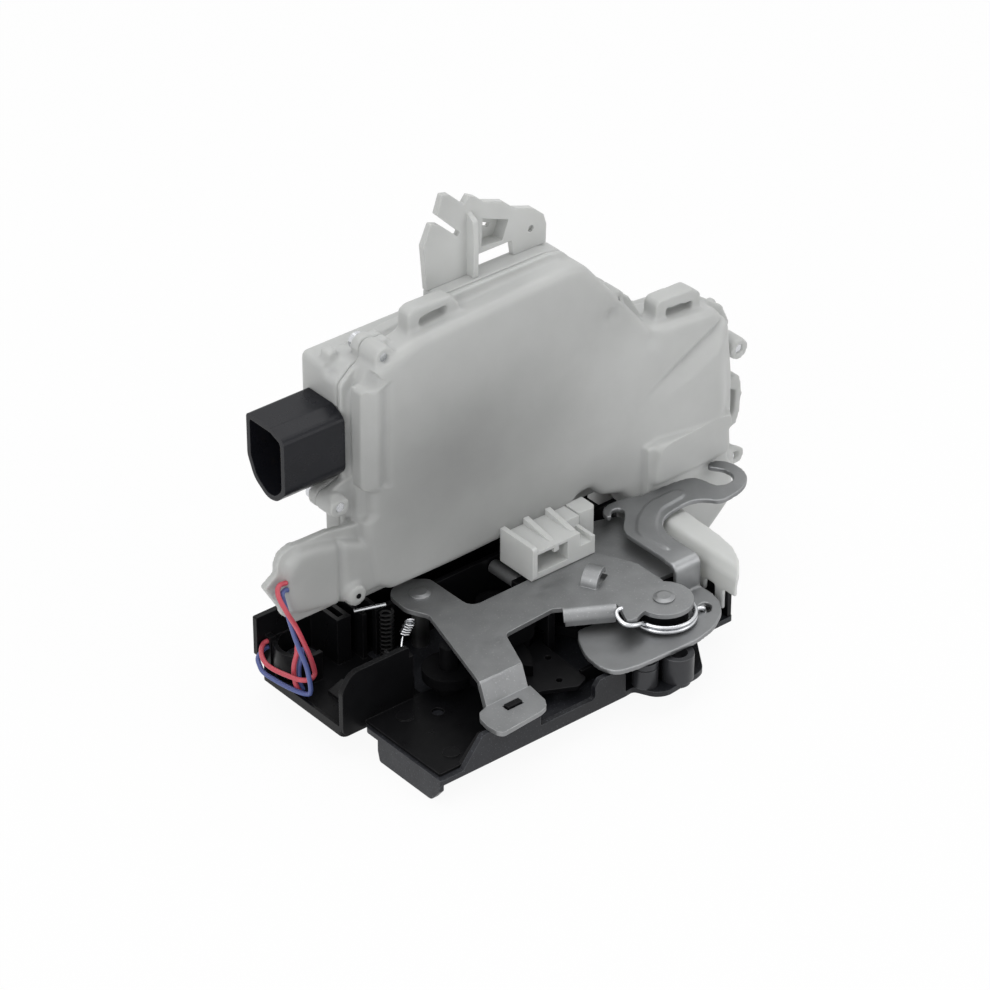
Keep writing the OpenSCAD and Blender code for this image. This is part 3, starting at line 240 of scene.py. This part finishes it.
LOOKS = {
    "black_coat": material("coated_steel", **COATED, specular=0.32),
    "black_plastic": material("black_moulding", (0.0055, 0.0055, 0.0062), (0.26, 0.40), 0, 0.15, 70, 0.12,
                              1600, worn=(0.05, 0.05, 0.052), wear=0.6, specular=0.13),
    "connector_black": material("connector_moulding", (0.008, 0.0085, 0.0115), (0.24, 0.34), 0, 0.1, 60, 0.08,
                                2200, worn=(0.07, 0.07, 0.076), wear=0.7, specular=0.2),
    "sheet_steel": material("satin_sheet", **SATIN, speck=((0.36, 0.365, 0.37), 1400, 0.64)),
    # the lever's satin steel, with a painted highlight on the bend of its fold
    "lever_steel": material("satin_lever_painted_highlight", (0.245, 0.25, 0.255), (0.38, 0.48), 0.75, 0.07, 110, 0.12, 3200,
                            worn=(0.48, 0.49, 0.50), wear=0.8, painted_light_and_shade=[((122, 18, 26), (16, 12, 16), 1.35)]),
    "zinc_steel": material("bright_zinc", (0.62, 0.63, 0.65), (0.2, 0.3), 1.0, 0.06, 300, 0.025, 2400,
                           edge=0.00015),
    "spring_black": material("dark_spring", (0.009, 0.009, 0.0095), (0.3, 0.4), 0.2, 0.1, 200, 0.05, 2400,
                             edge=0.0001, specular=0.3),
    "rubber": material("bumper_rubber", (0.012, 0.012, 0.013), (0.6, 0.75), 0, 0.1, 80, 0.12, 1500,
                       specular=0.2),
    "milky_plastic": material("milky_moulding", (0.515, 0.523, 0.515), (0.40, 0.5), 0, 0.055, 38, 0.08, 1500,
                              worn=(0.66, 0.67, 0.65), wear=0.6, sub=0.25, edge=0.00045, specular=0.42,
                              painted_light_and_shade=MILKY_PAINTED_LIGHT_AND_SHADE),
    "white_plastic": material("white_moulding", (0.62, 0.63, 0.62), (0.40, 0.5), 0, 0.04, 60, 0.08, 1500,
                              worn=(0.76, 0.76, 0.73), wear=0.5, sub=0.3, edge=0.00035, specular=0.42),
    "brass": material("contact_brass", (0.66, 0.47, 0.2), (0.22, 0.32), 1.0, 0.05, 200, 0.04, 2400),
    "red_insulation": material("red_sleeve", (0.56, 0.075, 0.105), (0.32, 0.42), 0, 0.08, 150, 0.05, 1800),
    "blue_insulation": material("blue_sleeve", (0.085, 0.115, 0.31), (0.32, 0.42), 0, 0.08, 150, 0.05,
                                1800),
}
for part in frame["record"]["subparts"]:
    thing = nodes[part["node"]]
    thing.data.materials.clear()
    thing.data.materials.append(LOOKS[part["material_slot"]])


# parts deep in the black chamber painted near black as its shade, the lighter bushes, the front wall darkened
# by painted shade, the rivet's shank painted near black as shade below its grey head
RIVET = (43.9, 65.3)
DEEP_PAINTED_SHADE = material("deep_coat_painted_shade", (0.004, 0.004, 0.0045), (0.4, 0.55), 0.1, 0.2, 90, 0.14, 1800, specular=0.07)
BUSH = material("bush_coat", (0.036, 0.037, 0.041), (0.3, 0.42), 0.3, 0.14, 110, 0.14, 1800,
                worn=(0.14, 0.145, 0.15), wear=0.8, specular=0.45)
# the face plate's coat with painted shade over the lower front wall
WALL_PAINTED_SHADE = material("plate_coat_painted_shade", **COATED, specular=0.3, painted_light_and_shade=[((90, -1, 6), (80, 11, 16), 0.4)])
# the rivet's satin steel with its shank painted near black as shade, the head left grey
SHANK_PAINTED_SHADE = material("rivet_steel_painted_shade", **SATIN, painted_light_and_shade=[((*RIVET, 6), (12, 12, 15), 0.02)])
for look, names in ((DEEP_PAINTED_SHADE, ("catch", "catch_pin", "pawl", "pawl_pin", "striker_bumper")),
                    (BUSH, ("fixing_bush_front", "spacer_post")), (WALL_PAINTED_SHADE, ("face_plate",)),
                    (SHANK_PAINTED_SHADE, ("plate_rivet",))):
    for name in names:
        nodes[name].data.materials[0] = look


# ---------------------------------------------------------------- floor, backdrop and light
def ray_mix(tree, shader, plain):
    """The object is lit by the surface itself, while the camera and gloss see the plain colour."""
    path = tree.nodes.new("ShaderNodeLightPath").outputs
    direct = operate(tree, "ShaderNodeMath", "MAXIMUM", path["Is Camera Ray"], path["Is Glossy Ray"])[0]
    seen_plain = operate(tree, "ShaderNodeMath", "MAXIMUM", direct, path["Is Transmission Ray"])[0]
    choose = tree.nodes.new("ShaderNodeMixShader")
    tree.links.new(seen_plain, choose.inputs[0])
    tree.links.new(shader, choose.inputs[1])
    tree.links.new(plain, choose.inputs[2])
    return choose.outputs[0]


world = bpy.data.worlds.new("studio")
bpy.context.scene.world = world
world.use_nodes = True
tree = world.node_tree
light = tree.nodes["Background"]
light.inputs["Color"].default_value = (1, 1, 1, 1)
light.inputs["Strength"].default_value = 0.42
seen = tree.nodes.new("ShaderNodeBackground")
seen.inputs["Color"].default_value = (1, 1, 1, 1)
seen.inputs["Strength"].default_value = 1
tree.links.new(ray_mix(tree, light.outputs[0], seen.outputs[0]),
               tree.nodes["World Output"].inputs["Surface"])


def soft_light(name, place, size, watts):
    """A square lamp at the place, aimed at the middle of the object."""
    data = bpy.data.lights.new(name, "AREA")
    data.energy = watts
    data.shape = "SQUARE"
    data.size = size
    lamp = bpy.data.objects.new(name, data)
    lamp.location = place
    lamp.rotation_euler = (CENTRE - Vector(place)).to_track_quat("-Z", "Y").to_euler()
    bpy.context.scene.collection.objects.link(lamp)


CENTRE = Vector((0, 0.05, 0.06))
soft_light("top", (0.1, 0.2, 1.3), 1.4, 9)
soft_light("left", (-1.3, -0.5, 0.8), 1.0, 7)
soft_light("right", (0.9, -1.2, 0.7), 0.9, 4.5)

FLOOR_Z = cad_box[0][2] - 0.0002
FLOOR_HALF = 3
floor_mesh = bpy.data.meshes.new("floor")
floor_mesh.from_pydata([(u * FLOOR_HALF, v * FLOOR_HALF, FLOOR_Z)
                        for u, v in ((-1, -1), (1, -1), (1, 1), (-1, 1))], [], [(0, 1, 2, 3)])
floor = bpy.data.objects.new("floor", floor_mesh)
bpy.context.scene.collection.objects.link(floor)
floor_look = bpy.data.materials.new("floor_paper")
floor_look.use_nodes = True
tree = floor_look.node_tree
paper = tree.nodes["Principled BSDF"]
paper.inputs["Base Color"].default_value = (0.94, 0.94, 0.94, 1)
paper.inputs["Roughness"].default_value = 0.9
glow = tree.nodes.new("ShaderNodeEmission")
glow.inputs["Strength"].default_value = 1
glow_mix = ray_mix(tree, paper.outputs[0], glow.outputs[0])
# the camera sees mostly white paper with the object's soft shadow on it
PLAIN_SHARE = 0.93
shadowed = tree.nodes.new("ShaderNodeMixShader")
shadowed.inputs[0].default_value = PLAIN_SHARE
tree.links.new(paper.outputs[0], shadowed.inputs[1])
tree.links.new(glow_mix, shadowed.inputs[2])
tree.links.new(shadowed.outputs[0], tree.nodes["Material Output"].inputs["Surface"])
floor.data.materials.append(floor_look)

# ---------------------------------------------------------------- formed pieces
def spline(points, steps):
    """A smooth line through the points, each stretch in the given number of steps."""
    ends = [points[0] * 2 - points[1]] + list(points) + [points[-1] * 2 - points[-2]]
    out = []
    for i in range(1, len(ends) - 2):
        a, b, c, d = ends[i - 1:i + 3]
        for k in range(steps):
            t = k / steps
            out.append(0.5 * (2 * b + (c - a) * t + (2 * a - 5 * b + 4 * c - d) * t * t
                              + (3 * b - a - 3 * c + d) * t ** 3))
    return out + [points[-1]]


def tube(name, path, radius, look, sides):
    """A round wire along a line of points, closed at both ends."""
    mesh = bpy.data.meshes.new(name)
    work = bmesh.new()
    side = None
    rings = []
    count = len(path)
    for i, point in enumerate(path):
        tangent = (path[min(i + 1, count - 1)] - path[max(i - 1, 0)]).normalized()
        if side is None:
            side = tangent.cross(Vector((1, 0, 0)) if abs(tangent.z) > 0.9 else Vector((0, 0, 1)))
        side = (side - tangent * side.dot(tangent)).normalized()
        other = tangent.cross(side)
        rings.append([work.verts.new(point + radius * (math.cos(math.tau * j / sides) * side
                                                       + math.sin(math.tau * j / sides) * other))
                      for j in range(sides)])
    for low, high in zip(rings, rings[1:]):
        for j in range(sides):
            k = (j + 1) % sides
            work.faces.new((low[j], low[k], high[k], high[j])).smooth = True
    work.faces.new(rings[0][::-1])
    work.faces.new(rings[-1])
    bmesh.ops.recalc_face_normals(work, faces=work.faces)
    work.to_mesh(mesh)
    work.free()
    thing = bpy.data.objects.new(name, mesh)
    bpy.context.scene.collection.objects.link(thing)
    thing.data.materials.append(look)
    return thing


def wire_piece(name, points, radius, slot, node=None):
    """A wire that stays with the latch, in place of a node or as a piece of its own."""
    piece = tube(name, spline([at(*p) for p in points], 5), radius * MM, LOOKS[slot], 14)
    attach(piece, "latch")
    if node:
        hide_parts(node)


# routes of the two leads, their short inner ends behind the main run, the terminal and a black disc painted
# as the shade in a screw's recess
LEAD_RADIUS = 0.85
RED = [(-10.2, 66.8, 49), (-11.8, 66.6, 49.4), (-13.6, 66, 49.8), (-15.2, 65, 49), (-15.7, 63.3, 46.6),
       (-14.2, 61.4, 41.6), (-10.7, 61.5, 34.4), (-7.8, 61.6, 27.1), (-5.1, 62, 20.2), (-3.3, 62.4, 14.4),
       (-3.2, 62.3, 11.8), (-5.2, 62.2, 10.8), (-7.7, 64.3, 10.6), (-9.4, 68.9, 10.6), (-11, 73.6, 11),
       (-11.4, 77.8, 11.4), (-10.4, 81.5, 12), (-8.4, 84.4, 12.6), (-6.2, 86, 13), (-4.9, 86, 13.2),
       (-3.6, 86, 13.2)]
BLUE = [(-10.2, 66.4, 46.4), (-11.8, 66, 47), (-13.4, 64.9, 46.9), (-13.5, 64.4, 45.2), (-11.8, 63.3, 35.9),
        (-10.3, 62.9, 29.5), (-8.5, 62.2, 22.6), (-7.3, 61.2, 17.6), (-6.8, 60.4, 12.8), (-6.4, 60.3, 9),
        (-6.2, 60.9, 6.4), (-6.4, 62.6, 5.2), (-7.4, 65.6, 4.9), (-8.8, 69.8, 5.2), (-10.3, 74.8, 6),
        (-11.7, 79, 7.4), (-11.2, 81.9, 8.6), (-9.8, 84.5, 9.6), (-6.4, 86, 10.6), (-4.9, 86, 10.8),
        (-3.6, 86, 10.8)]
RED_TAIL = [(-0.6, 74.6, 8), (-0.8, 74.2, 13.4), (-2.2, 72.6, 17.6), (-4, 70.4, 19.2), (-5.6, 68.6, 17.8),
            (-6.9, 68.4, 14.2), (-7.1, 68.4, 10.5), (-6.8, 68, 6.6), (-6.2, 67.2, 4), (-5.8, 66.8, 2.9)]
BLUE_TAIL = [(0.8, 73.2, 8), (0.4, 72.9, 12.8), (-1.2, 71.2, 16.2), (-2.8, 69.6, 16.8), (-4.3, 68.4, 15),
             (-5.1, 68.3, 12), (-5.1, 68.3, 8.6), (-4.8, 68, 5.4), (-4.2, 67.4, 3.2)]
wire_piece("red_lead_wire", RED, LEAD_RADIUS, "red_insulation", "red_lead")
wire_piece("blue_lead_wire", BLUE, LEAD_RADIUS, "blue_insulation", "blue_lead")
wire_piece("red_lead_tail", RED_TAIL, LEAD_RADIUS, "red_insulation")
wire_piece("blue_lead_tail", BLUE_TAIL, LEAD_RADIUS, "blue_insulation")
wire_piece("lead_terminal", [(-5.9, 67, 3.4), (-5.6, 66.2, 2.7), (-5.4, 65.4, 2.6)], 0.55, "zinc_steel")
# a black disc flush in the cover's screw boss: painted shade standing for the screw's recess
wire_piece("cover_screw_recess_painted_shade", [(15.7, 63.4, 35), (15.7, 62.6, 35), (15.7, 61.95, 35)], 0.95,
           "black_plastic")

# return spring of the outer lever: coils and both legs made as one wire
SPRING_LOW = 15.1
SPRING_RISE = 2.3
SPRING_CENTRE = (105.3, 11.6)
SPRING_RADIUS = 10.8
SPRING_WIRE = 0.8
SPRING_START = 204
SPRING_TURNS = 1.37
left_leg = [(89.6, 14.6, 23.1), (88, 14.9, 23.1), (86.4, 14.2, 22.9), (85.6, 12.2, 22), (85.8, 9.8, 21.2),
            (87.2, 8.2, 20.6), (89.8, 7.6, 20), (92.6, 8, 19.2), (94.4, 8.6, 17.9)]
TURN_POINTS = 40
turns = []
for i in range(TURN_POINTS + 1):
    angle = math.radians(SPRING_START + SPRING_TURNS * 360 * i / TURN_POINTS)
    turns.append((SPRING_CENTRE[0] + SPRING_RADIUS * math.cos(angle),
                  SPRING_CENTRE[1] + SPRING_RADIUS * math.sin(angle),
                  SPRING_LOW + SPRING_RISE * (1 - i / TURN_POINTS)))
right_leg = [(116.6, 6.9, SPRING_LOW + 0.1), (118.2, 6.5, SPRING_LOW), (118.8, 6.4, 14), (118.8, 6.4, 12.3)]
spring = tube("return_spring_wire", spline([at(*p) for p in left_leg + turns + right_leg], 3),
              SPRING_WIRE * MM, LOOKS["zinc_steel"], 12)
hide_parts("lever_spring")
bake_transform(spring)

# ---------------------------------------------------------------- moulded and pressed parts
def solid(work, outline, low, high, axis="y"):
    """A block with a flat outline, from low to high along the axis, added to the mesh that is being made."""
    place = {"x": lambda u, v, t: at(t, u, v), "y": lambda u, v, t: at(u, t, v),
             "z": lambda u, v, t: at(u, v, t)}[axis]
    near_side = [work.verts.new(place(u, v, low)) for u, v in outline]
    far_side = [work.verts.new(place(u, v, high)) for u, v in outline]
    faces = [work.faces.new(near_side), work.faces.new(far_side[::-1])]
    for i in range(len(outline)):
        j = (i + 1) % len(outline)
        faces.append(work.faces.new((near_side[j], near_side[i], far_side[i], far_side[j])))
    bmesh.ops.recalc_face_normals(work, faces=faces)


def round_off(points, cut):
    """The closed outline with its corners rounded; a corner given twice in a row stays sharp."""
    for reach in (cut, cut * 0.4):
        out = []
        for k, here in enumerate(points):
            before, after = points[k - 1], points[(k + 1) % len(points)]
            if here in (before, after):
                out.append(here)
                continue
            for other in (before, after):
                far = math.dist(here, other)
                t = min(reach, 0.4 * far) / far
                out.append((here[0] + (other[0] - here[0]) * t, here[1] + (other[1] - here[1]) * t))
        points = out
    return [p for k, p in enumerate(points) if math.dist(p, points[k - 1]) > 0.01]


def disc(u, v, radius, sides=28):
    """The outline of a round block."""
    return [(u + radius * math.cos(math.tau * k / sides), v + radius * math.sin(math.tau * k / sides))
            for k in range(sides)]


def moulded(node, name, voxel, rounds, extra=(), shape=None, body="latch", below=None):
    """The node's form as one soft-edged piece: cut off at a height, with added blocks, a skin of voxels
    smoothed in rounds, and the skin's points moved by the shape."""
    work = bmesh.new()
    work.from_mesh(nodes[node].data)
    if below is not None:
        bmesh.ops.remove_doubles(work, verts=work.verts, dist=1e-6)
        bmesh.ops.bisect_plane(work, geom=work.verts[:] + work.edges[:] + work.faces[:],
                               plane_co=(0, 0, below * MM), plane_no=(0, 0, 1), clear_outer=True)
        bmesh.ops.holes_fill(work, edges=[e for e in work.edges if e.is_boundary])
    for block in extra:
        solid(work, *block)
    mesh = bpy.data.meshes.new(name)
    work.to_mesh(mesh)
    work.free()
    thing = bpy.data.objects.new(name, mesh)
    bpy.context.scene.collection.objects.link(thing)
    skin = thing.modifiers.new("skin", "REMESH")
    skin.mode = "VOXEL"
    skin.voxel_size = voxel * MM
    skin.use_smooth_shade = True
    soft = thing.modifiers.new("soft", "SMOOTH")
    soft.factor = 0.5
    soft.iterations = rounds
    graph = bpy.context.evaluated_depsgraph_get()
    made = bpy.data.meshes.new_from_object(thing.evaluated_get(graph))
    thing.modifiers.clear()
    thing.data = made
    made.name = name
    if shape:
        points = np.zeros(len(made.vertices) * 3)
        made.vertices.foreach_get("co", points)
        moved = shape(points.reshape(-1, 3) / MM + ORIGIN)
        made.vertices.foreach_set("co", ((moved - ORIGIN) * MM).reshape(-1))
    made.polygons.foreach_set("use_smooth", [True] * len(made.polygons))
    made.update()
    made.materials.clear()
    made.materials.append(nodes[node].data.materials[0])
    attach(thing, body)
    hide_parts(node)


def step(value, low, high):
    """A smooth step from 0 at low to 1 at high."""
    t = np.clip((value - low) / (high - low), 0, 1)
    return t * t * (3 - 2 * t)


def near(x, z, centre, radius):
    """A soft round spot, 1 at its centre."""
    return np.exp(-((x - centre[0]) ** 2 + (z - centre[1]) ** 2) / radius ** 2)


CREASE = (140.6, 60.3)
CREASE_ALONG = (0.893, 0.45)
BULGE_FACE = 57.9
CORNER_BOSSES = ((30.8, 119, 8), (12.1, 69.1, 9))


def cover_form(p):
    """The cover's relief on points in millimetres: crease, lobe valley, hollows, set-back left side."""
    x, y, z = p[:, 0], p[:, 1], p[:, 2]
    front = 1 - step(y, 66.5, 72)
    # crease fanning out towards the upper right; the face beyond it comes forward to the bulge's level
    along = (x - CREASE[0]) * CREASE_ALONG[0] + (z - CREASE[1]) * CREASE_ALONG[1]
    down = (x - CREASE[0]) * CREASE_ALONG[1] - (z - CREASE[1]) * CREASE_ALONG[0]
    height = 5.2 - 2.0 * step(z, 48, 72)
    forward = height * step(x, 139, 170) * (1 - 0.9 * step(x, 171, 180))
    forward = forward * step(down, 0.2, 6) * step(z, 37, 41)
    forward = np.minimum(forward, np.clip(y - BULGE_FACE, 0, None))
    groove = 1.6 * np.exp(-((down + 0.3) / 1.1) ** 2) * step(along, -2, 26) * (1 - step(along, 42, 46))
    # valley between the lobe and the module, and the lobe's thinner end
    valley = 1.3 * np.exp(-((x - 11.4) / 1.4) ** 2) * (1 - step(z, 55, 58))
    lobe_end = 0.8 * near(x, z, (-9, 47), 5)
    # hollows beside the corner screw, at the foot of the right clip and along the top edge
    hollows = (1.8 * near(x, z, (126, 99.5), 3.2) + 1.4 * near(x, z, (144, 84), 3.6)
               + 0.8 * near(x, z, (131, 90), 9))
    # soft sink marks over inner ribs and posts
    sink = 0.16 * np.sin(x / 7.3 + 0.7 * np.sin(z / 11)) * np.sin(z / 8.1 + 0.4)
    wave = 0.45 * np.sin(x / 34 + 1.2) * np.sin(z / 27)
    # the collar beside the plug, its outer edge eased and a soft valley on its other side
    collar_band = step(z, 70.5, 73) * (1 - step(z, 109, 111.5))
    ease = 2.8 * (1 - step(x, 20.4, 25.4)) * collar_band
    beside = 1.1 * np.exp(-((x - 29.2) / 1.7) ** 2) * collar_band
    # left side set back above and below the collar, clear of the two screw bosses there
    left = (1 - step(x, 25, 36)) * (1 - step(y, 66.5, 69.5)) * step(z, 59, 62) * (1 - collar_band)
    for boss_x, boss_z, reach in CORNER_BOSSES:
        left = left * step(np.hypot(x - boss_x, z - boss_z), 5.5, reach)
    # lower right edge a little further out
    right = step(x, 168, 180) * (1 - step(z, 19, 25)) * step(z, 4, 9) * (1 - step(y, 66, 69))
    moved = p.copy()
    moved[:, 0] = x + 2.6 * left + 2.2 * right
    moved[:, 1] = y + front * (groove + valley + lobe_end + hollows + ease + beside + sink + wave - forward)
    return moved


collar = ([(20.7, 110.4), (25, 110.4), (26.6, 106.4), (26.6, 75), (25, 71.6), (20.7, 71.6)], 62.9, 70.4)
bulge = ([(140.6, 9), (178, 9), (178, 43.6), (152, 44), (140.6, 42.6)], 60.6, 66)
screw_boss = (disc(15.7, 35, 3.6), 61.9, 68)
moulded("front_cover", "front_cover_moulding", 0.7, 4, shape=cover_form, extra=[collar, bulge, screw_boss])
moulded("rear_housing", "rear_housing_moulding", 0.9, 3)
moulded("side_guard", "side_guard_moulding", 0.45, 4)

# outer release lever: pressed arm with its hooks and rib, and the fold down to the web
ARM_Z = 26
SHEET = 1.7
WEB_LEFT, WEB_RIGHT, WEB_Y = 116.5, 127.8, 18.2
BEND = 3
CUT_Z = 21.5
arm = [(118.5, 57.4), (120, 61), (123.8, 62.4), (131.5, 62), (136, 59.4), (150.9, 58.6), (157.5, 57.3),
       (159.7, 54.6), (160.4, 48.6), (162.1, 46.4), (166.2, 45.8), (169.2, 47.6), (170.6, 51.7),
       (169, 55.4), (166.8, 57.6), (166.8, 59.4), (169.6, 60.4), (172.2, 59.4), (175.2, 54.7),
       (174.7, 47.4), (171.6, 43.2), (166.2, 40.2), (155.5, 38.9), (152.3, 43.7), (147.1, 46.2),
       (136, 44.8), (131.5, 42.4), (128.5, 37.7), (WEB_RIGHT, 32), (WEB_RIGHT, 22), (WEB_RIGHT, 22),
       (WEB_LEFT, 22), (WEB_LEFT, 22), (117, 26), (117, 46.2), (125.5, 54.8), (126.3, 57.2),
       (124.6, 58.8), (122, 58.6), (120.8, 56.2), (119.2, 55.8)]
rib = [(121.3, 28), (122.3, 28), (124.3, 36), (129, 43), (136, 48.4), (149, 49.6), (149, 54.4), (135, 54),
       (126, 49), (119.6, 42)]
arc = [math.radians(180 - 90 * k / 8) for k in range(9)]
fold = [(WEB_Y, 20)] + [(WEB_Y + BEND + BEND * math.cos(a), ARM_Z - BEND + BEND * math.sin(a)) for a in arc]
fold += [(24, ARM_Z), (24, ARM_Z - SHEET)]
fold += [(WEB_Y + BEND + (BEND - SHEET) * math.cos(a), ARM_Z - BEND + (BEND - SHEET) * math.sin(a))
         for a in reversed(arc)] + [(WEB_Y + SHEET, 20)]
moulded("outer_release_lever", "outer_release_lever_pressing", 0.4, 3, body="outer_lever", below=CUT_Z,
        extra=[(round_off(arm, 1.7), ARM_Z - SHEET, ARM_Z, "z"),
               (round_off(rib, 1.6), ARM_Z - 0.3, ARM_Z + 0.55, "z"),
               (fold, WEB_LEFT, WEB_RIGHT, "x")])
